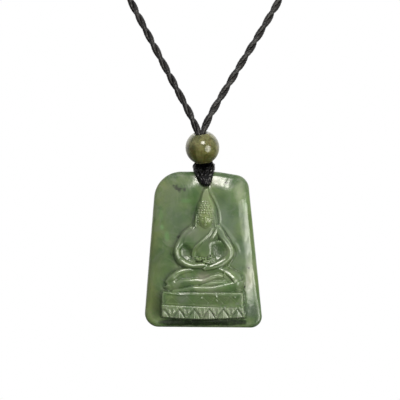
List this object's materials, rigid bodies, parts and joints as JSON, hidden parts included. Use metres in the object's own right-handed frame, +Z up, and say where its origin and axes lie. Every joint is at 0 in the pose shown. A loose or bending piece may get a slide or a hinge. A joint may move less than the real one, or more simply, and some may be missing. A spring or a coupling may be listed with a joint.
{
  "type": "jade buddha pendant on a neck cord",
  "caption": "Worn necklace: a carved jade plaque with a seated figure in relief, hung by a cord wrap through its drilled hole below a round bead on a twisted neck cord.",
  "frame": {"origin": "the point at the nape where the closure of the neck cord rests on the back of the neck", "axes": "+Z up, -Y the way the wearer and the carved face look, +X to the right as the carved face is seen"},
  "size_m": [0.117, 0.1127, 0.1853],
  "materials": {
    "jade": "polished",
    "bead_stone": "polished",
    "black_cord": "waxed braid",
    "neck_cord": "waxed two-strand twist"
  },
  "bodies": {
    "root": {"plaque": "jade", "bead": "bead_stone", "cord_wrap": "black_cord", "neck_cord_left": "neck_cord", "neck_cord_right": "neck_cord", "closure": "black_cord"}
  },
  "joints": []
}
